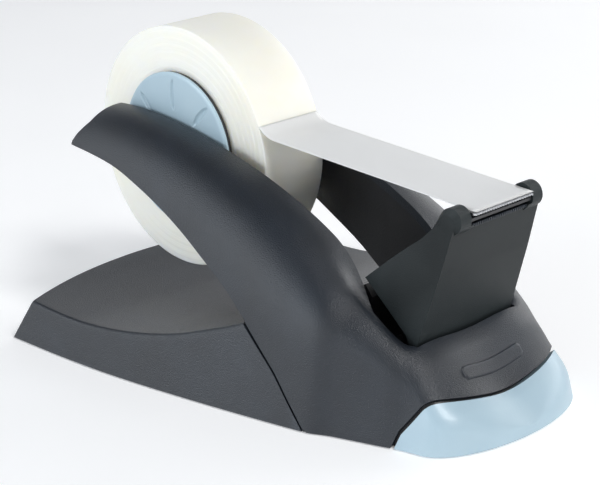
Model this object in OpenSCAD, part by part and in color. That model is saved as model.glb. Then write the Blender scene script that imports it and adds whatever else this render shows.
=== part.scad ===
// Weighted desk tape dispenser: a hood with two arms that carry a lift-out reel, a flared
// tail, a raised cutter and a coloured toe. Millimetres, +X to the front, +Z up.
// The origin is on the table, under the middle of the object.

/* [Reel] */
// Height of the reel axis above the table
reel_z = 47.5; // [46:0.5:49]
// Distance of the reel axis behind the middle
reel_back = 32; // [31:0.5:33]
// Width of the tape
tape_w = 19; // [15:0.5:19]
// Outer radius of the roll of tape
roll_r = 29.75; // [26:0.25:30]
// Bore radius of the tape core
core_r = 12.7; // [12.6:0.1:12.9]
// Wall of the tape core
core_wall = 1.8; // [1.2:0.1:2.2]
// Radius of the coloured hub caps
cap_r = 18.8; // [17:0.1:20]
// Radius of the stub axles
stub_r = 2.9; // [2.4:0.1:3]
// How far the axle slots lean forward, in degrees
slot_lean = 26; // [20:1:30]

/* [Shell] */
// Wall of the moulded shells
wall = 2.2; // [1.8:0.1:2.4]
// Half the gap between the arms
arm_gap = 13; // [12.8:0.1:13.2]
// Height of the shells' lower edge above the table
foot_gap = 0.3; // [0.2:0.1:0.8]
// Width of the groove between the hood and the toe
toe_groove = 0.8; // [0.5:0.1:1]
// Width of the groove between the hood and the tail
seam_groove = 0.9; // [0.5:0.1:1.2]

/* [Cutter] */
// Height of the blade's teeth
blade_z = 50.9; // [50.5:0.1:51.2]
// Length of the blade
blade_len = 19.4; // [19:0.1:19.8]
// Spacing of the blade's teeth
tooth = 0.8; // [0.8:0.1:1.4]
// Fall of the tape strip from the reel to the blade, per millimetre
strip_fall = 0.062; // [0.05:0.002:0.07]

/* [Base] */
// Thickness of the non-slip pad
pad_t = 1.2; // [0.8:0.1:1.4]
// Thickness of the base plate
plate_t = 1.8; // [1.5:0.1:2]

/* [Hidden] */
charcoal = [0.17, 0.18, 0.20];
soft_black = [0.08, 0.08, 0.09];
ice_blue = [0.70, 0.79, 0.86];
steel = [0.62, 0.63, 0.65];
iron = [0.33, 0.33, 0.34];
rubber = [0.06, 0.06, 0.06];
frosted = [0.93, 0.93, 0.89];
fine = 96;
small = 32;
slack = 0.1;

// Crown of the hood along its length: x, z
crown = [[-56, 55.2], [-52, 56], [-46, 56.4], [-38, 56.2], [-28, 55], [-18, 53.1], [-8, 50.8],
         [4, 47.2], [15.5, 42.7], [24, 38.4], [33, 32.6], [38, 29.2], [42, 26.8], [47, 23.6],
         [51.3, 21], [55.6, 18.2], [57.9, 15.4], [60.3, 12.4], [62.5, 10.4], [65, 8.4], [67.5, 5.8],
         [69.5, 3.6], [71, 1.6]];
// How far the middle of the front face lies below its two ridges: x, z
dish = [[-60, 0], [40, 0], [49.5, 0.5], [56, 0.9], [62, 1.2], [66, 0.6], [71, 0]];
// How far the inner lip of the opening rolls down: x, z
lip = [[-60, 0], [24, 0], [30, 1], [36, 4], [43, 5], [48, 3.4], [51, 0.6], [52, 0], [71, 0]];
// Height of the rounding on the shoulders: x, z
shoulder = [[-60, 11], [-50, 13], [-28, 17], [-8, 20], [8, 22], [24, 19], [36, 11], [47, 7], [58, 6],
            [71, 1.5]];
// Lower edge of the arms: x, z
under = [[-56, 47.4], [-46.5, 46.5], [-38, 45.2], [-31, 43.2], [-21, 39.6], [-11, 35.2], [-2, 30.4],
         [6, 25.8], [13.3, 20.4]];
// Rim of the tail: x, z
rim = [[-72, 12.6], [-62.5, 12], [-54.5, 11.2], [-44.5, 10.5], [-34, 10.2], [-21, 11.1], [-8.5, 13.2],
       [0, 15.6], [13.3, 20.4], [26, 27], [33.5, 30.8]];
// Half width of the hood at the table: x, y
plan = [[-60, 33.3], [-20, 33.6], [0, 34.2], [14, 34.6], [24, 34.3], [33.5, 33.4], [38.5, 31.2],
        [44.5, 29.2], [50, 27.5], [54, 26.1], [59, 24.5]];
// How far the hood's walls lean in per millimetre of height: x, lean
hood_lean = [[-60, 0.16], [36, 0.16], [50, 0.22], [58, 0.3], [71, 0.3]];
// Half width of the tail at the table: x, y
tail_plan = [[-72, 43.6], [-60, 43.5], [-50, 43.4], [-40, 43.2], [-25, 42.3], [-10, 40.6], [5, 38.4],
             [20, 35.9], [33.5, 33.4]];
// How far the tail's walls lean in per millimetre of height: x, lean
tail_lean = [[-72, 0.12], [-50, 0.17], [-25, 0.24], [0, 0.26], [13.3, 0.26], [33.5, 0.2]];
// Half width of the opening between the arms: x, y
opening = [[-60, arm_gap], [18, arm_gap], [28, 13.2], [34, 14.2], [37, 15.4], [40, 16.3], [44, 16.6],
           [50, 16.6], [52, 16.4]];
reel_x = -reel_back;
nose_x = 59;
nose_len = 11.3;
nose_w = 24.9;
tail_back = -70.3;
tail_bow = 10.5;
tail_half = 43.5;
tail_rake = 0.7;
seam_top = [13.3, 20.4];
seam_foot = [33.5, foot_gap];
seam_knee = [23.9, 11.3];
front_edge = 51.7;
plate_z = pad_t + plate_t;
toe_stop = 57;
toe_foot = 52.6;
toe_reach = 7.6;
toe_half = 25;
well_z = 15;
ridge_in = 14;
lip_y = 21;
lip_run = 5;
opening_n = 66;
stub_end = 14.2;
slot_end = 14.45;
seat_r = stub_r + 0.08;
lobe_r = 6.5;
liner_t = 1.8;
screw_r = 1.4;
head_r = 2.8;
boss_r = 3.4;
hood_bosses = [[38, 24.4], [38, -24.4]];
tail_bosses = [[-50, 34.5], [-50, -34.5]];
cutter_posts = [[44, 8], [44, -8]];
ballast_holes = [[22, 14], [22, -14], [-40, 16], [-40, -16]];

function step_of(x, t, i = 0) = (i >= len(t) - 2 || x < t[i + 1][0]) ? i : step_of(x, t, i + 1);
function slope(t, i) =
    let (a = max(i - 1, 0), b = min(i + 1, len(t) - 1))
    (t[b][1] - t[a][1]) / (t[b][0] - t[a][0]);
// Smooth curve through the points of a table
function curve(x, t) =
    let (i = step_of(x, t), h = t[i + 1][0] - t[i][0],
         s = min(max((x - t[i][0]) / h, 0), 1), r = 1 - s)
    t[i][1] * (1 + 2 * s) * r * r + t[i + 1][1] * s * s * (3 - 2 * s)
    + h * (slope(t, i) * s * r * r - slope(t, i + 1) * s * s * r);
function steps(a, b, n) = [for (i = [0 : n]) a + (b - a) * i / n];
function both(half) = concat(half, [for (i = [len(half) - 1 : -1 : 0]) [-half[i][0], half[i][1]]]);
function nose_half(x, t) =
    x < nose_x ? curve(x, plan) - t
    : (nose_w - t) * sqrt(max(1 - pow((x - nose_x) / (nose_len - t), 2), 0));

// Solid through a row of rings that have the same number of points
module loft(rings) {
    n = len(rings[0]);
    m = len(rings);
    polyhedron(
        points = [for (r = rings) each r],
        faces = [
            for (i = [0 : m - 2]) for (j = [0 : n - 1])
                [i * n + j, (i + 1) * n + (j + 1) % n, i * n + (j + 1) % n],
            for (i = [0 : m - 2]) for (j = [0 : n - 1])
                [i * n + j, (i + 1) * n + j, (i + 1) * n + (j + 1) % n],
            [for (j = [0 : n - 1]) j],
            [for (j = [n - 1 : -1 : 0]) (m - 1) * n + j]
        ],
        convexity = 8);
}
// Joins everything inside it into one moulded skin
module skin() { resize([0, 0, 0]) children(); }
// Extrudes an x, z outline across the object
module across(from, to) {
    translate([0, to, 0]) rotate([90, 0, 0]) linear_extrude(to - from) children();
}
module pin_at(p, z, r, h) { translate([p[0], p[1], z]) cylinder(r = r, h = h, $fn = small); }

// Half section of the hood, from the foot to the middle, taken in by t
function hood_half(x, t) =
    let (thick = t * (1 + 0.7 * min(max((x - 20) / 30, 0), 1)),
         top = max(curve(x, crown) - thick, t > 0 ? -3 : foot_gap + 0.6),
         w = nose_half(x, t), floor_z = t > 0 ? -5 : foot_gap, lean = curve(x, hood_lean),
         h = min(curve(x, shoulder), (top - floor_z) * 0.8),
         edge = w - lean * max(top, 0), wide = max(edge - ridge_in, edge * 0.42),
         knee = [edge + lean * h, top - h], corner = [edge, top], inner = [edge - wide, top],
         d = curve(x, dish), roll = max(curve(x, lip), 0),
         line = concat(
             [for (s = steps(0, 1, 9)) knee * (1 - s) * (1 - s) + corner * 2 * s * (1 - s) + inner * s * s],
             [[inner[0] * 0.66, top - d * 0.5], [inner[0] * 0.3, top - d * 0.95]]))
    concat([[w - lean * floor_z, floor_z]],
           [for (p = line) [p[0], p[1] - roll * pow(min(max((lip_y - p[0]) / lip_run, 0), 1), 2)]]);
module hood_form(t) {
    xs = concat(steps(-56, 44, 33), steps(45.5, nose_x, 9),
                [for (a = steps(14, 84, 6)) nose_x + (nose_len - t) * sin(a)]);
    loft([for (x = xs) [for (p = both(hood_half(x, t))) [x, p[0], p[1]]]]);
}
function arm_line(inset) = [for (x = steps(13.3, -54.2 + inset, 22)) [x, curve(x, under) + inset]];
function arm_tip(inset) = [[-54.8 + inset, 48.2 + inset], [-53.6 + inset, 50.2], [-51 + inset, 53.2], [-48.6 + inset, 60]];
function hood_side() =
    concat(arm_line(0), arm_tip(0), [[75, 60], [75, -1], [seam_foot[0] + 0.3, -1], seam_foot, seam_knee]);
function opening_line(grow) = [for (x = steps(-80, front_edge, opening_n)) [x, curve(x, opening) + grow]];
module opening_plan(grow) {
    polygon(concat(opening_line(grow), [[front_edge + grow, 12]], [[front_edge + grow, -12]],
                   [for (i = [opening_n : -1 : 0]) [opening_line(grow)[i][0], -opening_line(grow)[i][1]]]));
}
// Everything in front of the joint between the hood and the toe
module toe_side(gap) {
    loft([for (z = [-6, 14]) concat(
        [[90, -40, z], [90, 40, z]],
        [for (y = steps(28, -28, 28))
            [toe_foot + gap + 0.3 * z + toe_reach * max(1 - pow(abs(y) / toe_half, 2.7), 0), y, z]])]);
}
// Blind slot for the stub axle, with a lead-in at its mouth
module slot_cut() {
    from = arm_gap - 1;
    translate([reel_x, 0, reel_z]) rotate([0, slot_lean, 0]) {
        translate([-seat_r, from, 0]) cube([2 * seat_r, slot_end - from, 24]);
        translate([0, slot_end, 0]) rotate([90, 0, 0]) linear_extrude(slot_end - from)
            polygon([[seat_r - 0.1, 5], [seat_r + 1.2, 7.5], [seat_r + 1.2, 24], [0, 24], [0, 5]]);
    }
}
module hood_shell() {
    color(charcoal) difference() {
        skin() {
            difference() {
                intersection() { hood_form(0); across(-50, 50) polygon(hood_side()); }
                hood_form(wall);
                translate([0, 0, -1]) linear_extrude(80) opening_plan(0);
                toe_side(0);
            }
            intersection() {
                union() for (p = hood_bosses) pin_at(p, plate_z + slack, boss_r, 30);
                hood_form(wall / 2);
            }
        }
        for (p = hood_bosses) pin_at(p, -1, screw_r + 0.05, 13);
        slot_cut();
        mirror([0, 1, 0]) slot_cut();
    }
}

// Half section of the tail: foot, wall, rim and dished floor
function tail_half_section(x, t) =
    let (z = curve(x, rim) - t, w = curve(x, tail_plan) - t, floor_z = t > 0 ? -5 : foot_gap,
         tilt = curve(x, tail_lean), edge = w - tilt * z)
    concat([[w - tilt * floor_z, floor_z], [edge + 0.1, z - 0.7], [edge - 0.6, z]],
           [for (s = [0.05, 0.2, 0.5, 0.9]) [(edge - 1) * (1 - s), z - 1.4 * sin(90 * s)]]);
module tail_form(t) {
    loft([for (x = steps(-73, 34.5, 30)) [for (p = both(tail_half_section(x, t))) [x, p[0], p[1]]]]);
}
// Everything in front of the bowed and raked rear end
module tail_end(t) {
    loft([for (z = [-6, 34]) concat(
        [[60, -60, z], [60, 60, z]],
        [for (y = steps(50, -50, 20))
            [tail_back + t + tail_rake * max(z - foot_gap, -7) + tail_bow * pow(y / tail_half, 2), y, z]])]);
}
module seam_side(gap) {
    across(-60, 60) polygon([
        [-90, -20], [seam_foot[0] - gap + 12, -20], [seam_foot[0] - gap, foot_gap],
        [seam_knee[0] - gap, seam_knee[1]], [seam_top[0] - gap, seam_top[1]], [seam_top[0] - gap - 4, 32], [-90, 32]]);
}
module tail_shell() {
    color(charcoal) difference() {
        skin() {
            difference() {
                intersection() { tail_form(0); tail_end(0); seam_side(seam_groove); }
                intersection() { tail_form(wall); tail_end(wall); }
            }
            intersection() {
                union() for (p = tail_bosses) pin_at(p, plate_z + slack, boss_r, 12);
                tail_form(wall / 2);
            }
        }
        for (p = tail_bosses) pin_at(p, -1, screw_r + 0.05, 8.2);
    }
}
module cutter_deck() {
    side = arm_gap - slack;
    color(soft_black) difference() {
        union() {
            across(-side, side) polygon([
                [14.2, 19.4], [26, 25.7], [32.9, 29.2], [34.9, 26.6], [34.9, well_z - 1],
                [32.9, well_z - 1], [32.9, 26.4], [26, 23.5], [15.4, 17.6]]);
            translate([0, 0, well_z - 2]) linear_extrude(2) intersection() {
                opening_plan(-slack);
                translate([25, -30]) square([22, 60]);
            }
            for (p = cutter_posts) pin_at(p, plate_z + 9.2, boss_r, 2);
        }
        for (p = cutter_posts) pin_at(p, -1, screw_r + 0.05, 40);
    }
}
// Inner wall and underside of one arm, with the seat for the stub axle
module arm_liner() {
    lower = concat(arm_line(wall), [[-54.2 + wall, 60], [46, 60], [46, 12], [20, 12]]);
    color(soft_black) difference() {
        union() {
            skin() difference() {
                intersection() {
                    hood_form(wall + slack);
                    across(0, 60) polygon(concat(arm_line(slack), arm_tip(wall + slack), [
                        [46, 60], [46, well_z - 2], [seam_knee[0] - 0.5, well_z - 2],
                        [seam_top[0] + 2.4, seam_top[1]]]));
                    linear_extrude(80) difference() {
                        translate([-60, 0]) square([106, 50]);
                        opening_plan(0);
                    }
                }
                intersection() {
                    across(0, 60) polygon(lower);
                    linear_extrude(80) difference() {
                        translate([-60, 0]) square([106, 50]);
                        opening_plan(liner_t);
                    }
                }
            }
            intersection() {
                along_axle(arm_gap, lobe_r, liner_t);
                translate([reel_x - 10, 0, 0]) cube([20, 20, reel_z + 3]);
            }
        }
        slot_cut();
        along_axle(arm_gap - 1, seat_r, slot_end - arm_gap + 1);
    }
}
module arm_liner_left() { arm_liner(); }
module arm_liner_right() { mirror([0, 1, 0]) arm_liner(); }
module toe_cap() {
    color(ice_blue) skin() difference() {
        intersection() { hood_form(0); toe_side(toe_groove); }
        hood_form(wall);
    }
}

// Side outline of the cutter housing: x, z
tower = [[34.9, 31.9], [42, 26.2], [47.5, 21.6], [48.8, 18.8], [50.4, 19], [56.4, 37], [60, 49],
         [59.7, 50.8], [58, 51.3], [55.4, 48.8], [51, 44.5], [44.9, 40], [38.3, 34.7]];
function tower_half(z) = 14.1 + (49 - z) * 0.054;
module cheek(y0, y1, x, z, r) {
    across(min(y0, y1), max(y0, y1)) translate([x, z]) circle(r = r, $fn = small);
}
module cutter_housing() {
    channel = 10.1;
    color(charcoal) difference() {
        skin() difference() {
            union() {
                difference() {
                    loft([for (s = [1, -1]) [for (p = tower) [p[0], s * tower_half(p[1]), p[1]]]]);
                    across(-11.8, 11.8) polygon([
                        [43, 32.2], [44.5, 34.9], [50, 39.3], [55.2, 43.6], [54.3, 38], [50.5, 26.6],
                        [49.2, 25], [48.6, well_z], [45.2, well_z], [44.5, 29]]);
                }
                for (s = [1, -1]) hull() {
                    cheek(s * (channel - 1), s * 13.4, 58.4, 49.7, 2.9);
                    cheek(s * (channel - 1), s * 14.2, 57.9, 49.2, 2);
                    cheek(s * (channel - 1), s * 13.4, 54.8, 45.6, 2);
                }
                for (p = cutter_posts) pin_at(p, well_z + slack, boss_r, 15.5);
            }
            across(-channel, channel) polygon([
                [30, 29], [39.4, 33.2], [43.9, 36.5], [48.4, 39.9], [52.6, 44.1], [56.4, 47.4],
                [62.6, 48.8], [62.6, 60], [30, 60]]);
        }
        for (p = cutter_posts) pin_at(p, -1, screw_r + 0.05, 23);
    }
}
// Insert between the cheeks that holds the blade and supports the end of the tape
module blade_carrier() {
    side = 10;
    color(soft_black) difference() {
        across(-side, side) polygon([
            [43.9, 36.7], [48.4, 40.1], [52.5, 44.2], [56.3, 47.6], [60.6, 48.8], [60.9, 49.9],
            [55.9, 50.4], [52.6, 47.6], [48, 43.2], [44.6, 40.4]]);
        for (y = [-6, 6]) translate([58, y, 40]) cylinder(r = 0.75, h = 20, $fn = small);
        across(-side - 1, side + 1) polygon([[59.4, 49], [62, 49.3], [62, 48], [59.4, 47.9]]);
    }
}
// Serrated strip; its teeth lie at the blade's front edge
module cutter_blade() {
    thick = 0.4;
    depth = 5.6;
    teeth = floor(blade_len / tooth);
    half = teeth * tooth / 2;
    color(steel) translate([62, 0, blade_z]) rotate([0, atan(strip_fall), 0]) difference() {
        translate([0, 0, -thick / 2]) linear_extrude(thick) polygon(concat(
            [[-depth, half], [-depth, -half]],
            [for (i = [0 : teeth - 1]) each [[-0.7, -half + i * tooth], [0, -half + (i + 0.5) * tooth]]],
            [[-0.7, half]]));
        for (y = [-6, 6]) translate([-4, y, -2]) cylinder(r = 0.75, h = 4, $fn = small);
    }
}
module blade_rivets() {
    color(steel) for (y = [-6, 6]) translate([58, y, 0]) {
        translate([0, 0, 48.9]) cylinder(r = 0.7, h = 2.3, $fn = small);
    }
}
module screw(p, z, grip) {
    pin_at(p, z, screw_r, grip);
    difference() {
        pin_at(p, z - 1.4, head_r, 1.4);
        translate([p[0], p[1], z - 1.5]) cylinder(r = 1, h = 1, $fn = 6);
    }
}
module cutter_screws() { color(steel) for (p = cutter_posts) screw(p, plate_z + 9.2, 9); }
module base_screws() {
    color(steel) {
        for (p = hood_bosses) screw(p, pad_t + 1.5, 8);
        for (p = tail_bosses) screw(p, pad_t + 1.5, 4);
    }
}
module ballast_screws() { color(steel) for (p = ballast_holes) screw(p, pad_t + 1.5, 2.6); }
// Outline of the underside, taken in by t
module footprint(t) {
    half = concat([for (x = steps(-72, 33.5, 12)) [x, curve(x, tail_plan) - t]],
                  [for (x = steps(36, nose_x, 6)) [x, nose_half(x, t)]]);
    intersection() {
        polygon(concat(half, [for (i = [len(half) - 1 : -1 : 0]) [half[i][0], -half[i][1]]]));
        polygon(concat([[toe_stop, -60], [toe_stop, 60]],
            [for (y = steps(50, -50, 16)) [tail_back + t + 1.4 + tail_bow * pow(y / tail_half, 2), y]]));
    }
}
module base_plate() {
    color(soft_black) difference() {
        translate([0, 0, pad_t]) linear_extrude(plate_t) footprint(3.4);
        for (p = concat(hood_bosses, tail_bosses, ballast_holes)) {
            pin_at(p, 0, screw_r + 0.1, 9);
            pin_at(p, 0, head_r + 0.2, pad_t + 1.5);
        }
    }
}
module non_slip_pad() {
    color(rubber) linear_extrude(pad_t) footprint(4);
}
module ballast_block(height) {
    difference() {
        translate([0, 0, plate_z]) linear_extrude(height) children();
        for (p = ballast_holes) pin_at(p, 0, screw_r + 0.1, 30);
    }
}
module front_ballast() {
    color(iron) ballast_block(6.6) polygon([
        [18, -24], [32, -24], [36, -15], [50, -12], [50, 12], [36, 15], [32, 24], [18, 24]]);
}
module rear_ballast() {
    color(iron) ballast_block(2.4) polygon([
        [-54, -22], [-42, -30], [6, -28], [6, 28], [-42, 30], [-54, 22]]);
}

module along_axle(from, r, h) {
    translate([reel_x, from, reel_z]) rotate([-90, 0, 0]) cylinder(r = r, h = h, $fn = fine);
}
half_tape = tape_w / 2;
flange_y = half_tape + 0.1;
flange_t = 0.9;
cap_y = flange_y + flange_t;
// Half of the hub: drum, flange, stub axle and a spigot that snaps into the other half
module hub_half(spigot_in, spigot_out, reach) {
    color(soft_black) difference() {
        union() {
            difference() {
                along_axle(0.1, core_r - 0.1, cap_y - 0.1);
                along_axle(-1, core_r - 1.8, half_tape - 0.6);
            }
            along_axle(flange_y, cap_r - 0.1, flange_t);
            along_axle(half_tape - 2, stub_r, stub_end - half_tape + 2);
            difference() {
                along_axle(-reach, spigot_out, half_tape + reach - 1);
                along_axle(-reach - 1, spigot_in, 30);
            }
        }
    }
}
module hub_half_left() { hub_half(5.4, 6.9, 6); }
module hub_half_right() { mirror([0, 1, 0]) hub_half(7, 8.4, -0.1); }
// Coloured disc with a ring of lens-shaped recesses
module hub_cap() {
    thick = 0.9;
    color(ice_blue) difference() {
        along_axle(cap_y, cap_r, thick);
        along_axle(cap_y - 1, stub_r + 0.1, 4);
        for (a = [0 : 45 : 315]) translate([reel_x, cap_y + thick - 0.6, reel_z]) rotate([-90, 0, 0])
            rotate([0, 0, a]) linear_extrude(2) intersection() {
                translate([13.5, 7.4]) circle(r = 8.1, $fn = fine);
                translate([13.5, -7.4]) circle(r = 8.1, $fn = fine);
            }
    }
}
module hub_cap_left() { hub_cap(); }
module hub_cap_right() { mirror([0, 1, 0]) hub_cap(); }
module tape_core() {
    color([0.85, 0.80, 0.70]) difference() {
        along_axle(-half_tape, core_r + core_wall, tape_w);
        along_axle(-half_tape - 1, core_r, tape_w + 2);
    }
}
module tape_roll() {
    color(frosted) difference() {
        along_axle(-half_tape, roll_r, tape_w);
        along_axle(-half_tape - 1, core_r + core_wall, tape_w + 2);
    }
}
// Free end of the tape: it peels off the roll, bends and runs straight to the blade
module tape_strip() {
    thick = 0.25;
    peel = [reel_x + (roll_r + 0.2) * cos(20), reel_z + (roll_r + 0.2) * sin(20)];
    line = function (x) blade_z + 0.32 + strip_fall * (62 - x);
    low = [[62, line(62)], [1.5, line(1.5)], [-0.8, line(-0.8) + 0.25], [-2.4, line(-2.4) + 0.9], peel];
    color(frosted) across(-half_tape, half_tape) polygon(concat(
        low, [for (i = [len(low) - 1 : -1 : 0]) low[i] + [i > 2 ? 0.2 : 0, thick]]));
}

hood_shell();
tail_shell();
cutter_deck();
arm_liner_left();
arm_liner_right();
toe_cap();
cutter_housing();
blade_carrier();
cutter_blade();
blade_rivets();
cutter_screws();
base_plate();
non_slip_pad();
front_ballast();
rear_ballast();
base_screws();
ballast_screws();
hub_half_left();
hub_half_right();
hub_cap_left();
hub_cap_right();
tape_core();
tape_roll();
tape_strip();
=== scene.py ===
"""Desk tape dispenser: smooth skins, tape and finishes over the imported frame. Metres, +X front, +Z up."""
import math
import bpy
import bmesh
from mathutils import Matrix, Vector


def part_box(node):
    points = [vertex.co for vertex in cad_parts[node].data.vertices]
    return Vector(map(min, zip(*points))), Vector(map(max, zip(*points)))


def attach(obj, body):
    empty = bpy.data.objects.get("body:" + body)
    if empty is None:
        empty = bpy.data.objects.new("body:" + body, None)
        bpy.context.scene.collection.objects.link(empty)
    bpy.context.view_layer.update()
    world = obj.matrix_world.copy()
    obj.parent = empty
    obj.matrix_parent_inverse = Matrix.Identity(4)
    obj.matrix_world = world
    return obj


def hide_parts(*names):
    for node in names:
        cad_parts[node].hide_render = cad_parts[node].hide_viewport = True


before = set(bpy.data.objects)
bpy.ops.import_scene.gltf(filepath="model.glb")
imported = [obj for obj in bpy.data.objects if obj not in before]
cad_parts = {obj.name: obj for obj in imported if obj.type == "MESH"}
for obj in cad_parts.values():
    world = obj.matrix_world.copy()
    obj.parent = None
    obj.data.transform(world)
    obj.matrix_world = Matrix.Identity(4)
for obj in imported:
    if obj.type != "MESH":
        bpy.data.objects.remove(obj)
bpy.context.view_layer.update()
MM = 0.001

# ---------------------------------------------------------------- driving dimensions, in millimetres
ROLL_LO, ROLL_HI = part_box("tape_roll")
REEL_X = (ROLL_LO[0] + ROLL_HI[0]) / 2 / MM
REEL_Z = (ROLL_LO[2] + ROLL_HI[2]) / 2 / MM
ROLL_R = (ROLL_HI[0] - ROLL_LO[0]) / 2 / MM
TAPE_HALF = ROLL_HI[1] / MM
CAP_LO, CAP_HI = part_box("hub_cap_left")
CAP_R = (CAP_HI[0] - CAP_LO[0]) / 2 / MM
CAP_Y = CAP_LO[1] / MM
CAP_T = (CAP_HI[1] - CAP_LO[1]) / MM
CORE_R = 14.5
WALL = 2.2
RIDGE_IN, LIP_Y, LIP_RUN = 14.0, 21.0, 5.0
ARM_GAP = 13.0
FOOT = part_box("hood_shell")[0][2] / MM
TOE_GROOVE = 0.8
SEAM_GROOVE = 0.9
NOSE_X, NOSE_LEN, NOSE_W = 59.0, 11.3, 24.9
TAIL_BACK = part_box("tail_shell")[0][0] / MM
TAIL_BOW, TAIL_HALF, TAIL_RAKE = 10.5, 43.5, 0.7
FRONT_EDGE = 51.7
TOE_FOOT, TOE_REACH, TOE_HALF = 52.6, 7.6, 25.0
SEAM = [(0.3, 33.5), (11.3, 23.9), (20.4, 13.3), (32.0, 9.3)]
TIP = [(40, -54.8), (48.2, -54.8), (50.2, -53.6), (53.2, -51), (60, -48.6)]
TIP_END = -43.0

CROWN = [(-56, 55.2), (-52, 56), (-46, 56.4), (-38, 56.2), (-28, 55), (-18, 53.1), (-8, 50.8),
         (4, 47.2), (15.5, 42.7), (24, 38.4), (33, 32.6), (38, 29.2), (42, 26.8), (47, 23.6),
         (51.3, 21), (55.6, 18.2), (57.9, 15.4), (60.3, 12.4), (62.5, 10.4), (65, 8.4), (67.5, 5.8),
         (69.5, 3.6), (71, 1.6)]
DISH = [(-60, 0), (40, 0), (49.5, 0.5), (56, 0.9), (62, 1.2), (66, 0.6), (71, 0)]
LIP = [(-60, 0), (24, 0), (30, 1), (36, 4), (43, 5), (48, 3.4), (51, 0.6), (52, 0), (71, 0)]
SHOULDER = [(-60, 11), (-50, 13), (-28, 17), (-8, 20), (8, 22), (24, 19), (36, 11), (47, 7), (58, 6),
            (71, 1.5)]
UNDER = [(-56, 47.4), (-46.5, 46.5), (-38, 45.2), (-31, 43.2), (-21, 39.6), (-11, 35.2), (-2, 30.4),
         (6, 25.8), (13.3, 20.4)]
RIM = [(-72, 12.6), (-62.5, 12), (-54.5, 11.2), (-44.5, 10.5), (-34, 10.2), (-21, 11.1), (-8.5, 13.2),
       (0, 15.6), (13.3, 20.4), (26, 27), (33.5, 30.8)]
PLAN = [(-60, 33.3), (-20, 33.6), (0, 34.2), (14, 34.6), (24, 34.3), (33.5, 33.4), (38.5, 31.2),
        (44.5, 29.2), (50, 27.5), (54, 26.1), (59, 24.9)]
HOOD_LEAN = [(-60, 0.16), (36, 0.16), (50, 0.22), (58, 0.3), (71, 0.3)]
TAIL_PLAN = [(-72, 43.6), (-60, 43.5), (-50, 43.4), (-40, 43.2), (-25, 42.3), (-10, 40.6), (5, 38.4),
             (20, 35.9), (33.5, 33.4)]
TAIL_LEAN = [(-72, 0.12), (-50, 0.17), (-25, 0.24), (0, 0.26), (13.3, 0.26), (33.5, 0.2)]
OPENING = [(-60, ARM_GAP), (18, ARM_GAP), (28, 13.2), (34, 14.2), (37, 15.4), (40, 16.3), (44, 16.6),
           (50, 16.6), (52, 16.4)]


def curve(x, table):
    """Smooth curve through the points of a table."""
    n = len(table)
    i = max(k for k in range(n - 1) if k == 0 or x >= table[k][0])

    def slope(k):
        a, b = table[max(k - 1, 0)], table[min(k + 1, n - 1)]
        return (b[1] - a[1]) / (b[0] - a[0])

    h = table[i + 1][0] - table[i][0]
    s = min(max((x - table[i][0]) / h, 0), 1)
    r = 1 - s
    return (table[i][1] * (1 + 2 * s) * r * r + table[i + 1][1] * s * s * (3 - 2 * s)
            + h * (slope(i) * s * r * r - slope(i + 1) * s * s * r))


def straight(x, table):
    """Straight lines through the points of a table."""
    for (x0, y0), (x1, y1) in zip(table, table[1:]):
        if x <= x1:
            break
    return y0 + (y1 - y0) * (x - x0) / (x1 - x0)


def steps(a, b, n):
    return [a + (b - a) * i / n for i in range(n + 1)]


# ---------------------------------------------------------------- mesh helpers

def piece(name, verts, faces, body, slot, material, replaces=()):
    """A mesh piece in millimetres that rides on a body and stands for the named CAD nodes."""
    mesh = bpy.data.meshes.new(name)
    mesh.from_pydata([(x * MM, y * MM, z * MM) for x, y, z in verts], [], faces)
    mesh.materials.append(material)
    obj = bpy.data.objects.new(name, mesh)
    bpy.context.scene.collection.objects.link(obj)
    tidy(mesh)
    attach(obj, body)
    if replaces:
        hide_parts(*replaces)
    return obj


def tidy(mesh):
    """Welds doubles, turns the faces outward and shades them smooth."""
    bm = bmesh.new()
    bm.from_mesh(mesh)
    bmesh.ops.remove_doubles(bm, verts=bm.verts, dist=1e-6)
    bmesh.ops.dissolve_degenerate(bm, dist=1e-7, edges=bm.edges)
    bmesh.ops.recalc_face_normals(bm, faces=bm.faces)
    bm.to_mesh(mesh)
    bm.free()
    mesh.shade_smooth()


def grid_faces(rows, cols, start=0, closed=False):
    """Quads between rows of cols points each."""
    wrap = cols if closed else cols - 1
    return [(start + i * cols + j, start + i * cols + (j + 1) % cols,
             start + (i + 1) * cols + (j + 1) % cols, start + (i + 1) * cols + j)
            for i in range(rows - 1) for j in range(wrap)]


def mirrored(verts, faces):
    """The same surface and its mirror image across y = 0."""
    n = len(verts)
    return (verts + [(x, -y, z) for x, y, z in verts],
            faces + [tuple(n + k for k in reversed(f)) for f in faces])


def thicken(obj, thick):
    """Gives an open surface a real wall on its inner side, level along its lowest edge."""
    low = min(v.co.z for v in obj.data.vertices)
    solid = obj.modifiers.new("wall", "SOLIDIFY")
    solid.thickness = thick * MM
    solid.offset = -1.0
    solid.use_even_offset = False
    wall = bpy.data.meshes.new_from_object(obj.evaluated_get(bpy.context.evaluated_depsgraph_get()))
    obj.modifiers.clear()
    for v in wall.vertices:
        v.co.z = max(v.co.z, low)
    wall.name = obj.name
    obj.data = wall


def soften(obj, width, segments=3, angle=40):
    """Rounds the sharp edges and keeps the broad faces flat."""
    bevel = obj.modifiers.new("edges", "BEVEL")
    bevel.width = width * MM
    bevel.segments = segments
    bevel.limit_method = "ANGLE"
    bevel.angle_limit = math.radians(angle)
    bevel.harden_normals = False
    bevel.use_clamp_overlap = True
    normals = obj.modifiers.new("normals", "WEIGHTED_NORMAL")
    normals.keep_sharp = True
    return bevel


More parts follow.
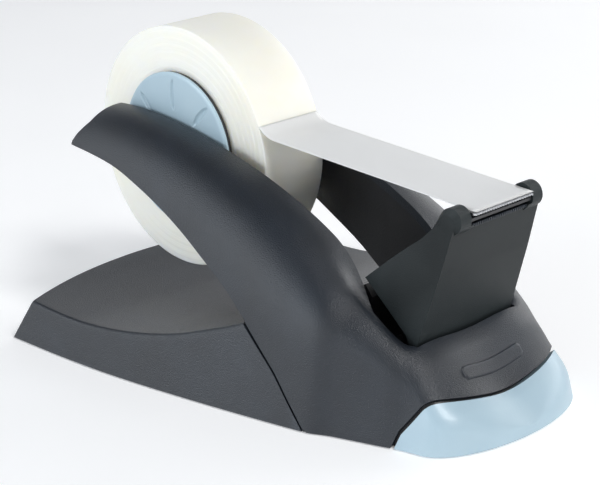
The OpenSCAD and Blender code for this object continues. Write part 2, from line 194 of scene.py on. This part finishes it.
def resample(points, count):
    """count points spread evenly along a polyline of (y, z)."""
    lengths = [0.0]
    for a, b in zip(points, points[1:]):
        lengths.append(lengths[-1] + math.dist(a, b))
    out, k = [], 0
    for i in range(count):
        want = lengths[-1] * i / (count - 1)
        while k < len(points) - 2 and lengths[k + 1] < want:
            k += 1
        span = lengths[k + 1] - lengths[k]
        f = (want - lengths[k]) / span if span else 0
        out.append(tuple(points[k][c] + (points[k + 1][c] - points[k][c]) * f for c in (0, 1)))
    return out


# ---------------------------------------------------------------- hood and toe
SIDE_COLS, MIDDLE_COLS = 34, 14


def nose_half(x):
    if x < NOSE_X:
        return curve(x, PLAN)
    return NOSE_W * math.sqrt(max(1 - ((x - NOSE_X) / NOSE_LEN) ** 2, 0))


def hood_section(x):
    """Half section of the hood from the foot to the middle: (y, z) points."""
    top = max(curve(x, CROWN), FOOT + 0.6)
    w = nose_half(x)
    h = min(curve(x, SHOULDER), (top - FOOT) * 0.8)
    lean = curve(x, HOOD_LEAN)
    edge = w - lean * top
    wide = max(edge - RIDGE_IN, edge * 0.42)
    knee, corner, inner = (edge + lean * h, top - h), (edge, top), (edge - wide, top)
    d = curve(x, DISH)
    line = [(w - lean * FOOT, FOOT)]
    for s in steps(0, 1, 24):
        line.append(tuple(knee[c] * (1 - s) ** 2 + corner[c] * 2 * s * (1 - s) + inner[c] * s * s
                          for c in (0, 1)))
    for s in steps(0, 1, 12)[1:]:
        line.append((inner[0] * (1 - s), top - d * (1 - math.cos(math.pi * s)) / 2))
    roll = max(curve(x, LIP), 0)
    return [(y, z - roll * min(max((LIP_Y - y) / LIP_RUN, 0), 1) ** 2) if z > FOOT + 1 else (y, z)
            for y, z in line]


def cut_at(line, value, axis):
    """Splits a polyline where its coordinate first reaches value."""
    for i, (a, b) in enumerate(zip(line, line[1:])):
        if (a[axis] - value) * (b[axis] - value) <= 0 and a[axis] != b[axis]:
            f = (value - a[axis]) / (b[axis] - a[axis])
            p = tuple(a[c] + (b[c] - a[c]) * f for c in (0, 1))
            return line[:i + 1] + [p], [p] + line[i + 1:]
    return line, [line[-1]]


def lower_edge(x):
    if x <= 13.3:
        return curve(x, UNDER)
    return max(straight(-x, [(-33.5, FOOT), (-23.5, 11.3), (-13.3, 20.4)]), FOOT) if x < 33.5 else FOOT


def hood_columns(x):
    """The section at x as points for the side patch and then the middle patch."""
    line = hood_section(x)
    split = curve(x, OPENING) * min(1, nose_half(x) / nose_half(FRONT_EDGE))
    low = lower_edge(x)
    if low > FOOT:
        line = cut_at(line, low, 1)[1]
    side, middle = cut_at(line, split, 0)
    return resample(side, SIDE_COLS), resample(middle, MIDDLE_COLS)


def joint_x(y, z, gap=0.0):
    """The leaning joint between the hood and the toe."""
    return TOE_FOOT + gap + 0.3 * z + TOE_REACH * max(1 - (abs(y) / TOE_HALF) ** 2.7, 0)


def joint_end(col, which, gap=0.0):
    """Where one column of the section meets the joint."""
    x = 57.0
    for _ in range(40):
        y, z = hood_columns(x)[which][col]
        x += 0.4 * (joint_x(y, z, gap) - x)
    return x


def tip_point(t, col):
    """A point of the arm's end: t runs from the raked tip, 0, to the straight part, 1."""
    x = TIP_END
    for _ in range(12):
        y, z = hood_columns(x)[0][col]
        end = straight(z, TIP)
        x = end + (TIP_END - end) * t
    y, z = hood_columns(x)[0][col]
    return x, y, z


def hood_shell(material):
    xs = steps(TIP_END, FRONT_EDGE, 90)
    verts = [tip_point(t, j) for t in steps(0, 1, 20)[:-1] for j in range(SIDE_COLS)]
    for x in xs:
        verts += [(x, y, z) for y, z in hood_columns(x)[0]]
    faces = grid_faces(len(xs) + 20, SIDE_COLS)
    for which, cols in ((0, SIDE_COLS), (1, MIDDLE_COLS)):
        ends = [joint_end(j, which) for j in range(cols)]
        start = len(verts)
        rows = steps(0, 1, 14)
        for t in rows:
            for j in range(cols):
                x = FRONT_EDGE + (ends[j] - FRONT_EDGE) * t
                y, z = hood_columns(x)[which][j]
                verts.append((x, y, z))
        faces += grid_faces(len(rows), cols, start)
    hood = piece("hood_skin", *mirrored(verts, faces), "dispenser", "charcoal_plastic", material,
                 ["hood_shell"])
    thicken(hood, WALL)
    soften(hood, 0.55)
    return hood


def toe_cap(material):
    """Closed nose piece: its skin, a flat underside and a face along the joint."""
    last = NOSE_X + NOSE_LEN - 0.03
    columns = [(0, j) for j in range(SIDE_COLS)] + [(1, j) for j in range(1, MIDDLE_COLS)]
    half = []
    for which, j in columns:
        end = joint_end(j, which, TOE_GROOVE)
        line = []
        for t in steps(0, 1, 26):
            x = end + (last - end) * math.sin(t * math.pi / 2)
            line.append((x, *hood_columns(x)[which][j]))
        half.append(line)
    across = half + [[(x, -y, z) for x, y, z in line] for line in reversed(half[:-1])]
    n, rows = len(across), len(half[0])
    verts = [line[i] for i in range(rows) for line in across]
    faces = grid_faces(rows, n)
    faces.append(tuple(range(n)))
    faces.append(tuple((rows - 1) * n + k for k in range(n)))
    faces.append(tuple(i * n for i in range(rows)) + tuple(i * n + n - 1 for i in reversed(range(rows))))
    toe = piece("toe_skin", verts, faces, "dispenser", "blue_plastic", material, ["toe_cap"])
    toe.data.set_sharp_from_angle(angle=math.radians(60))
    soften(toe, 0.3, angle=60)
    return toe


def toe_flange(material):
    """Lip under the joint, so that the groove has a floor; its black colour is painted shade that darkens
    the groove.
    """
    verts, faces = [], []
    for which, cols in ((0, SIDE_COLS), (1, MIDDLE_COLS)):
        start = len(verts)
        for t in steps(-1.5, 2.3, 4):
            for j in range(cols):
                x = joint_end(j, which) + t
                y, z = hood_columns(x)[which][j]
                verts.append((x, y * 0.965, max(z - 1.1, FOOT + 0.3)))
        faces += grid_faces(5, cols, start)
    # black_plastic here is painted shade in the groove under the joint, not the lip's own colour
    lip = piece("toe_flange", *mirrored(verts, faces), "dispenser", "black_plastic", material)
    thicken(lip, 0.6)
    return lip


def front_bar(material):
    """Plain raised bar on the front face, with rounded ends."""
    middle, long_half, tall_half, rise = 58.8, 10, 1.4, 0.42
    verts = []
    for u in steps(-1, 1, 48):
        for v in steps(-1, 1, 12):
            x = middle - v * tall_half * 0.75
            y = u * long_half
            line = hood_columns(x)[1]
            z = straight(abs(y), [(a, b) for a, b in reversed(line)])
            end = max(abs(y) - (long_half - tall_half), 0) / tall_half
            inside = 1 - min(end ** 2 + v ** 2, 1)
            lift = rise * min(1, 3 * inside) - 0.12
            verts.append((x + 0.78 * lift, y, z + 0.62 * lift))
    bar = piece("front_bar", verts, grid_faces(49, 13), "dispenser", "charcoal_plastic", material)
    thicken(bar, 0.2)
    return bar


def blade_comb(material):
    """Row of small ridges on the tower's front, just under the blade."""
    top_x, top_z, half, pitch = 60.15, 48.5, 9.0, 0.72
    verts, faces = [], []
    count = int(2 * half / pitch)
    for k in range(count + 1):
        y = -half + k * pitch
        start = len(verts)
        for x, z in ((top_x - 0.5, top_z - 0.1), (top_x + 0.25, top_z - 0.1), (top_x + 0.05, top_z - 0.9),
                     (top_x - 0.6, top_z - 0.9)):
            verts += [(x, y - pitch * 0.24, z), (x, y + pitch * 0.24, z)]
        faces += [(start, start + 2, start + 4, start + 6), (start + 7, start + 5, start + 3, start + 1)]
        faces += [(start + 2 * i, start + 2 * i + 1, start + (2 * i + 3) % 8, start + (2 * i + 2) % 8)
                  for i in range(4)]
    comb = piece("blade_comb", verts, faces, "dispenser", "charcoal_plastic", material)
    soften(comb, 0.06, segments=2)
    return comb


# ---------------------------------------------------------------- tail

def tail_edge(x):
    return curve(x, TAIL_PLAN)


def tail_lean(x):
    return curve(x, TAIL_LEAN)


def seam_x(z, gap):
    return straight(z, SEAM) - gap


def rear_x(y, z):
    return TAIL_BACK + TAIL_RAKE * (z - FOOT) + TAIL_BOW * (y / TAIL_HALF) ** 2


def tail_section(x):
    """Half section of the tail from the foot over the rim to the middle: (y, z) points."""
    z = curve(x, RIM)
    edge = tail_edge(x) - tail_lean(x) * z
    line = [(tail_edge(x) - tail_lean(x) * h, h) for h in steps(FOOT, z - 0.7, 10)]
    for a in steps(0, 90, 5)[1:]:
        r = math.radians(a)
        line.append((edge - 0.7 + 0.75 * math.cos(r), z - 0.7 + 0.7 * math.sin(r)))
    for s in steps(0, 1, 30)[1:]:
        line.append(((edge - 0.7) * (1 - s), z - 1.4 * math.sin(math.pi / 2 * min(s * 1.1, 1))))
    return line


def tail_shell(material):
    cols = len(tail_section(0))
    wall_cols = 16
    rows = steps(0, 1, 60)

    def solve(j, where, guess):
        x = guess
        for _ in range(30):
            y, z = tail_section(x)[j]
            x += 0.5 * (where(y, z) - x)
        return x

    backs = [solve(j, rear_x, -62) for j in range(cols)]
    fronts = [solve(j, lambda y, z: seam_x(z, SEAM_GROOVE), 15) for j in range(cols)]
    verts = []
    for t in rows:
        for j in range(cols):
            x = backs[j] + (fronts[j] - backs[j]) * t
            verts.append((x, *tail_section(x)[j]))
    faces = grid_faces(len(rows), cols)
    corner = verts[:wall_cols]
    top_y, top_z = corner[-1][1], corner[-1][2]
    start = len(verts)
    for _, corner_y, corner_z in corner:
        for j in range(wall_cols - 1, cols):
            _, y, z = verts[j]
            down = (corner_z - FOOT) / (top_z - FOOT)
            py = y / top_y * corner_y
            pz = FOOT + (z - FOOT) * down
            verts.append((rear_x(py, pz), py, pz))
    faces += grid_faces(len(corner), cols - wall_cols + 1, start)
    tail = piece("tail_skin", *mirrored(verts, faces), "dispenser", "charcoal_plastic", material,
                 ["tail_shell"])
    thicken(tail, WALL)
    soften(tail, 0.5, angle=32)
    return tail


def swept_strip(name, path, width, depth, material):
    """A rectangular bar along a path of (x, y, z), on both sides of the object."""
    verts, faces = [], []
    for x, y, z in path:
        for dx, dy in ((-1, 0), (1, 0), (1, -1), (-1, -1)):
            verts.append((x + dx * width / 2, y + dy * depth, z))
    faces += grid_faces(len(path), 4, closed=True)
    faces += [(0, 1, 2, 3), tuple(len(verts) - k for k in (1, 2, 3, 4))]
    return piece(name, *mirrored(verts, faces), "dispenser", "charcoal_plastic", material)


def seam_strips(lip_material, floor_material):
    """A thin lip in the seam between hood and tail, and the dark floor behind it."""
    def wall_y(x, z):
        return min(tail_edge(x) - tail_lean(x) * z, nose_half(x) - curve(x, HOOD_LEAN) * z)

    def path(gap, sink):
        line = []
        for z in steps(FOOT, 20.2, 16):
            x = seam_x(z, gap)
            line.append((x, wall_y(x, z) - sink, z))
        return line

    lip = swept_strip("seam_lip", path(SEAM_GROOVE / 2, 0.15), 0.42, 1.2, lip_material)
    soften(lip, 0.1)
    floor = swept_strip("seam_floor", path(SEAM_GROOVE / 2, 1.3), 3.6, 0.8, floor_material)
    return lip, floor


# ---------------------------------------------------------------- reel and tape

def around_axle(r, angle, y):
    """A point at a radius and angle round the reel axis."""
    return (REEL_X + r * math.cos(angle), y, REEL_Z + r * math.sin(angle))


def lathe(profile, count):
    """Rings of (radius, y) round the reel axis, closed into a tube."""
    verts = [around_axle(r, 2 * math.pi * i / count, y) for r, y in profile for i in range(count)]
    n = len(profile)
    faces = [(a * count + i, a * count + (i + 1) % count, (a + 1) % n * count + (i + 1) % count,
              (a + 1) % n * count + i) for a in range(n) for i in range(count)]
    return verts, faces


def tape_roll(material):
    """The winding: its faces carry the faint ridges where layers stand a little proud."""
    side = []
    radii = steps(CORE_R + 0.02, ROLL_R - 0.25, 46)
    for k, r in enumerate(radii):
        wobble = 0.035 * math.sin(k * 2.4) + 0.025 * math.sin(k * 5.1 + 1)
        side.append((r, TAPE_HALF - 0.06 + wobble))
    edge = [(ROLL_R - 0.06, TAPE_HALF - 0.08), (ROLL_R, TAPE_HALF - 0.3)]
    half = side + edge
    profile = half + [(r, -y) for r, y in reversed(half)]
    roll = piece("tape_winding", *lathe(profile, 220), "reel", "tape", material, ["tape_roll"])
    return roll


def hub_cap(name, node, turn, material):
    """Disc with a soft edge and eight scooped lens-shaped grips."""
    def depth(r, angle):
        low = 0.0
        for k in range(8):
            a = math.radians(45 * k)
            u = r * math.cos(angle - a)
            v = r * math.sin(angle - a)
            bow = 0.25 * math.sin((u - 9.5) / 8 * math.pi)
            along = (u - 13.4) / 4.0
            if abs(along) < 1:
                half = 0.8 * (1 - along ** 2) ** 0.6
                across = (v - bow) / half if half > 0 else 9
                if abs(across) < 1:
                    low = max(low, 0.5 * (1 - across ** 2) ** 0.6 * min(1, 2 * (1 - along ** 2)))
        return low

    count = 512
    radii = steps(3.0, 8.6, 4) + steps(8.9, 17.8, 46) + [18.15, 18.45, 18.65, CAP_R]
    out = CAP_Y + CAP_T
    verts, faces = [], []
    for r in radii:
        for i in range(count):
            a = 2 * math.pi * i / count
            crown = 0.12 * (1 - (r / CAP_R) ** 2)
            edge = 0.3 * max(0, (r - 17.8) / (CAP_R - 17.8)) ** 2.2
            verts.append(around_axle(r, a, out - 0.12 + crown - edge - depth(r, a)))
    rings = len(radii)
    for r in (CAP_R, 3.0):
        verts += [around_axle(r, 2 * math.pi * i / count, CAP_Y) for i in range(count)]
    rings += 2
    faces = [(a * count + i, a * count + (i + 1) % count, (a + 1) % rings * count + (i + 1) % count,
              (a + 1) % rings * count + i) for a in range(rings) for i in range(count)]
    verts = [(x, y * turn, z) for x, y, z in verts]
    cap = piece(name, verts, faces, "reel", "blue_plastic", material, [node])
    cap.data.set_sharp_from_angle(angle=math.radians(50))
    return cap


def tape_strip(material):
    """The free end: it peels off the roll in a tight curl and runs straight to the blade."""
    end_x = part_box("tape_strip")[1][0] / MM
    end_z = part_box("cutter_blade")[1][2] / MM + 0.12
    fall, curl = 0.062, 5.2

    def line(x):
        return end_z + fall * (end_x - x)

    peel_a = math.radians(20)
    peel = (REEL_X + (ROLL_R + 0.1) * math.cos(peel_a), REEL_Z + (ROLL_R + 0.1) * math.sin(peel_a))
    path = [peel]
    for s in steps(0, 1, 14)[1:]:
        x = peel[0] + curl * s
        path.append((x, line(x) + (peel[1] - line(peel[0])) * (1 - s) ** 2.4))
    path += [(x, line(x)) for x in steps(peel[0] + curl, end_x, 40)[1:]]
    across = steps(-TAPE_HALF + 0.05, TAPE_HALF - 0.05, 16)
    verts = []
    for x, z in path:
        t = (x - peel[0]) / (end_x - peel[0])
        for y in across:
            bow = 0.16 * math.sin(math.pi * min(t * 1.02, 1)) * (1 - (y / TAPE_HALF) ** 2)
            verts.append((x, y, z + bow))
    strip = piece("tape_film", verts, grid_faces(len(path), len(across)), "tape_lead", "tape", material,
                  ["tape_strip"])
    thicken(strip, 0.12)
    return strip


# ---------------------------------------------------------------- materials

def material(name):
    mat = bpy.data.materials.new(name)
    mat.use_nodes = True
    nodes, links = mat.node_tree.nodes, mat.node_tree.links
    shader = nodes["Principled BSDF"]
    return mat, nodes, links, shader


def noise(nodes, links, coords, scale, detail=3.0, rough=0.55):
    n = nodes.new("ShaderNodeTexNoise")
    n.inputs["Scale"].default_value = scale
    n.inputs["Detail"].default_value = detail
    n.inputs["Roughness"].default_value = rough
    links.new(coords, n.inputs["Vector"])
    return n


def ramp(nodes, links, source, stops):
    r = nodes.new("ShaderNodeValToRGB")
    r.color_ramp.elements[0].position = stops[0][0]
    r.color_ramp.elements[0].color = stops[0][1]
    r.color_ramp.elements[1].position = stops[-1][0]
    r.color_ramp.elements[1].color = stops[-1][1]
    for pos, col in stops[1:-1]:
        e = r.color_ramp.elements.new(pos)
        e.color = col
    links.new(source, r.inputs["Fac"])
    return r


def scaled(nodes, links, source, low, high):
    m = nodes.new("ShaderNodeMapRange")
    m.inputs["To Min"].default_value = low
    m.inputs["To Max"].default_value = high
    links.new(source, m.inputs["Value"])
    return m.outputs["Result"]


def moulded(name, dark, light, rough, grain, grain_size, wear=0.0, specular=0.52):
    """Moulded plastic: fine spark-eroded grain that also varies the gloss, slight blotches in tone, and
    paler worn edges.
    """
    mat, nodes, links, shader = material(name)
    coords = nodes.new("ShaderNodeTexCoord").outputs["Object"]
    blotch = noise(nodes, links, coords, 60, 2)
    fine = noise(nodes, links, coords, 1000 / grain_size, 2, 0.6)
    colour = ramp(nodes, links, blotch.outputs["Fac"], [(0.3, dark), (0.7, light)])
    out = colour.outputs["Color"]
    if wear:
        geometry = nodes.new("ShaderNodeNewGeometry")
        edge = ramp(nodes, links, geometry.outputs["Pointiness"],
                    [(0.52, (0, 0, 0, 1)), (0.62, (1, 1, 1, 1))])
        mix = nodes.new("ShaderNodeMix")
        mix.data_type = "RGBA"
        fac = nodes.new("ShaderNodeMath")
        fac.operation = "MULTIPLY"
        fac.inputs[1].default_value = wear
        links.new(edge.outputs["Color"], fac.inputs[0])
        links.new(fac.outputs[0], mix.inputs["Factor"])
        links.new(out, mix.inputs["A"])
        mix.inputs["B"].default_value = tuple(min(c * 2.6 + 0.02, 1) for c in light[:3]) + (1,)
        out = mix.outputs["Result"]
    links.new(out, shader.inputs["Base Color"])
    links.new(scaled(nodes, links, fine.outputs["Fac"], rough - 0.09, rough + 0.09),
              shader.inputs["Roughness"])
    bump = nodes.new("ShaderNodeBump")
    bump.inputs["Strength"].default_value = grain
    bump.inputs["Distance"].default_value = 0.00012
    links.new(fine.outputs["Fac"], bump.inputs["Height"])
    links.new(bump.outputs["Normal"], shader.inputs["Normal"])
    shader.inputs["Specular IOR Level"].default_value = specular
    return mat


def tape_material(name, pale, warm, film=False):
    """Frosted tape: translucent layers with fine rings on the winding's faces."""
    mat, nodes, links, shader = material(name)
    coords = nodes.new("ShaderNodeTexCoord").outputs["Object"]
    centre = nodes.new("ShaderNodeVectorMath")
    centre.operation = "SUBTRACT"
    centre.inputs[1].default_value = (REEL_X * MM, 0, REEL_Z * MM)
    links.new(coords, centre.inputs[0])
    flat = nodes.new("ShaderNodeVectorMath")
    flat.operation = "MULTIPLY"
    flat.inputs[1].default_value = (1, 0, 1)
    links.new(centre.outputs[0], flat.inputs[0])
    radius = nodes.new("ShaderNodeVectorMath")
    radius.operation = "LENGTH"
    links.new(flat.outputs[0], radius.inputs[0])
    cloud = noise(nodes, links, coords, 45, 3)
    colour = ramp(nodes, links, cloud.outputs["Fac"], [(0.25, warm), (0.6, pale)])
    links.new(colour.outputs["Color"], shader.inputs["Base Color"])
    if film:
        grain = noise(nodes, links, coords, 3500, 2)
        height, strength = grain.outputs["Fac"], 0.12
        shader.inputs["Transmission Weight"].default_value = 0.03
        shader.inputs["Subsurface Weight"].default_value = 0.3
        shader.inputs["Subsurface Radius"].default_value = (1.0, 0.95, 0.85)
        shader.inputs["Subsurface Scale"].default_value = 0.002
    else:
        turns = nodes.new("ShaderNodeTexNoise")
        turns.noise_dimensions = "1D"
        turns.inputs["Scale"].default_value = 2600
        turns.inputs["Detail"].default_value = 2
        links.new(radius.outputs["Value"], turns.inputs["W"])
        height, strength = turns.outputs["Fac"], 0.25
        shader.inputs["Subsurface Weight"].default_value = 0.55
        shader.inputs["Subsurface Radius"].default_value = (1.0, 0.9, 0.65)
        shader.inputs["Subsurface Scale"].default_value = 0.004
    links.new(scaled(nodes, links, cloud.outputs["Fac"], 0.36, 0.5), shader.inputs["Roughness"])
    bump = nodes.new("ShaderNodeBump")
    bump.inputs["Strength"].default_value = strength
    bump.inputs["Distance"].default_value = 0.0001
    links.new(height, bump.inputs["Height"])
    links.new(bump.outputs["Normal"], shader.inputs["Normal"])
    return mat


def metal(name, colour, rough, stretch):
    """Ground steel or raw iron: fine scratches, stretched where the metal was ground."""
    mat, nodes, links, shader = material(name)
    coords = nodes.new("ShaderNodeTexCoord").outputs["Object"]
    mapping = nodes.new("ShaderNodeMapping")
    mapping.inputs["Scale"].default_value = stretch
    links.new(coords, mapping.inputs["Vector"])
    grain = noise(nodes, links, mapping.outputs["Vector"], 400, 4)
    shade = tuple(c * 0.7 for c in colour[:3]) + (1,)
    links.new(ramp(nodes, links, grain.outputs["Fac"], [(0.3, shade), (0.7, colour)]).outputs["Color"],
              shader.inputs["Base Color"])
    links.new(scaled(nodes, links, grain.outputs["Fac"], rough - 0.08, rough + 0.1),
              shader.inputs["Roughness"])
    shader.inputs["Metallic"].default_value = 1.0
    bump = nodes.new("ShaderNodeBump")
    bump.inputs["Strength"].default_value = 0.15
    bump.inputs["Distance"].default_value = 0.0001
    links.new(grain.outputs["Fac"], bump.inputs["Height"])
    links.new(bump.outputs["Normal"], shader.inputs["Normal"])
    return mat


CHARCOAL = moulded("charcoal_plastic", (0.011, 0.014, 0.019, 1), (0.016, 0.021, 0.029, 1),
                   rough=0.36, grain=1.0, grain_size=0.27, wear=0.25)
TOWER = moulded("tower_plastic", (0.009, 0.012, 0.013, 1), (0.012, 0.016, 0.017, 1),
                rough=0.44, grain=0.5, grain_size=0.22, wear=0.3, specular=0.22)
BLACK = moulded("black_plastic", (0.008, 0.008, 0.009, 1), (0.012, 0.012, 0.014, 1), 0.40, 0.4, 0.5, 0.2)
BLUE = moulded("blue_plastic", (0.37, 0.50, 0.58, 1), (0.42, 0.55, 0.62, 1), 0.34, 0.15, 0.5)
CORE = moulded("core_plastic", (0.62, 0.56, 0.44, 1), (0.7, 0.64, 0.52, 1), 0.55, 0.3, 0.7)
RUBBER = moulded("rubber", (0.012, 0.012, 0.012, 1), (0.02, 0.02, 0.02, 1), 0.8, 0.8, 0.9)
TAPE = tape_material("tape", (0.88, 0.87, 0.80, 1), (0.86, 0.83, 0.72, 1))
FILM = tape_material("film", (0.90, 0.90, 0.88, 1), (0.86, 0.86, 0.84, 1), film=True)
STEEL = metal("steel", (0.62, 0.63, 0.65, 1), 0.28, (1, 12, 1))
IRON = metal("iron", (0.14, 0.14, 0.14, 1), 0.6, (1, 1, 1))

CAD_FINISH = {
    "cutter_deck": BLACK, "arm_liner_left": BLACK, "arm_liner_right": BLACK, "cutter_housing": TOWER,
    "blade_carrier": BLACK, "cutter_blade": STEEL, "blade_rivets": STEEL, "cutter_screws": STEEL,
    "base_plate": BLACK, "non_slip_pad": RUBBER, "front_ballast": IRON, "rear_ballast": IRON,
    "base_screws": STEEL, "ballast_screws": STEEL, "hub_half_left": BLACK, "hub_half_right": BLACK,
    "tape_core": CORE,
}


def finish_cad_nodes():
    for name, mat in CAD_FINISH.items():
        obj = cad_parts[name]
        if not obj.material_slots:
            obj.data.materials.append(mat)
        for s in obj.material_slots:
            s.link = "OBJECT"
            s.material = mat
    for name, width in (("cutter_housing", 0.5), ("arm_liner_left", 0.3), ("arm_liner_right", 0.3),
                        ("blade_carrier", 0.2), ("cutter_deck", 0.4)):
        soften(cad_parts[name], width)


# ---------------------------------------------------------------- light, floor and camera

def area(name, where, target, size, power, colour=(1, 1, 1)):
    light = bpy.data.lights.new(name, "AREA")
    light.shape = "RECTANGLE"
    light.size, light.size_y = size
    light.energy = power
    light.color = colour
    obj = bpy.data.objects.new(name, light)
    obj.location = where
    obj.rotation_euler = (Vector(target) - Vector(where)).to_track_quat("-Z", "Y").to_euler()
    bpy.context.scene.collection.objects.link(obj)


def studio():
    """A bright surround with a dark ceiling, so that upward curves stay deep black."""
    world = bpy.data.worlds.new("studio")
    bpy.context.scene.world = world
    world.use_nodes = True
    nodes, links = world.node_tree.nodes, world.node_tree.links
    direction = nodes.new("ShaderNodeTexCoord").outputs["Generated"]
    split = nodes.new("ShaderNodeSeparateXYZ")
    links.new(direction, split.inputs[0])
    sky = ramp(nodes, links, split.outputs["Z"],
               [(0.0, (1, 1, 1, 1)), (0.3, (0.9, 0.93, 0.97, 1)),
                (0.62, (0.16, 0.17, 0.19, 1)), (1.0, (0.1, 0.1, 0.11, 1))])
    links.new(sky.outputs["Color"], nodes["Background"].inputs["Color"])
    nodes["Background"].inputs["Strength"].default_value = 1.0
    area("key", (-0.35, -0.8, 0.3), (0, 0, 0.03), (0.5, 0.25), 3.0, (0.86, 0.93, 1.0))
    area("front", (0.6, -0.1, 0.75), (0.02, 0, 0.02), (0.26, 0.26), 4.6)
    area("back", (0.1, 0.8, 0.35), (0, 0, 0.03), (0.8, 0.3), 2.5)


def floor():
    """A white light table, a little brighter than what falls on it."""
    size = 3.0
    mesh = bpy.data.meshes.new("floor")
    corners = [(-size, -size, 0), (size, -size, 0), (size, size, 0), (-size, size, 0)]
    mesh.from_pydata(corners, [], [(0, 1, 2, 3)])
    mat, nodes, links, shader = material("floor_white")
    coords = nodes.new("ShaderNodeTexCoord").outputs["Object"]
    tone = noise(nodes, links, coords, 20, 2)
    white = ramp(nodes, links, tone.outputs["Fac"],
                 [(0.3, (0.93, 0.93, 0.93, 1)), (0.7, (0.95, 0.95, 0.95, 1))])
    links.new(white.outputs["Color"], shader.inputs["Base Color"])
    shader.inputs["Roughness"].default_value = 0.8
    shader.inputs["Emission Color"].default_value = (1, 1, 1, 1)
    shader.inputs["Emission Strength"].default_value = 0.2
    mesh.materials.append(mat)
    obj = bpy.data.objects.new("floor", mesh)
    bpy.context.scene.collection.objects.link(obj)


def camera():
    """Looks down on the front corner: azimuth and elevation of the view, then a slight roll."""
    az, el, roll = math.radians(46.1168), math.radians(19.4001), math.radians(-1.4999)
    distance = 0.4521176
    target = Vector((0.0285543 + REEL_X * MM, 0.0022698, 0.0264397))
    back = Vector((math.sin(az) * math.cos(el), -math.cos(az) * math.cos(el), math.sin(el)))
    forward = -back
    right = forward.cross(Vector((0, 0, 1))).normalized()
    up = right.cross(forward)
    turned_right = right * math.cos(roll) + up * math.sin(roll)
    turned_up = up * math.cos(roll) - right * math.sin(roll)
    data = bpy.data.cameras.new("camera")
    data.sensor_width = 36.0
    data.lens = 112.8
    obj = bpy.data.objects.new("camera", data)
    axes = Matrix((turned_right, turned_up, back)).transposed().to_4x4()
    obj.matrix_world = Matrix.Translation(target + back * distance) @ axes
    bpy.context.scene.collection.objects.link(obj)
    bpy.context.scene.camera = obj


# ---------------------------------------------------------------- build
camera()
studio()
floor()
finish_cad_nodes()
hood_shell(CHARCOAL)
toe_cap(BLUE)
toe_flange(BLACK)
front_bar(CHARCOAL)
blade_comb(CHARCOAL)
tail_shell(CHARCOAL)
seam_strips(CHARCOAL, BLACK)
tape_roll(TAPE)
hub_cap("hub_disc_left", "hub_cap_left", 1, BLUE)
hub_cap("hub_disc_right", "hub_cap_right", -1, BLUE)
tape_strip(FILM)
bpy.context.scene.view_settings.view_transform = "Standard"
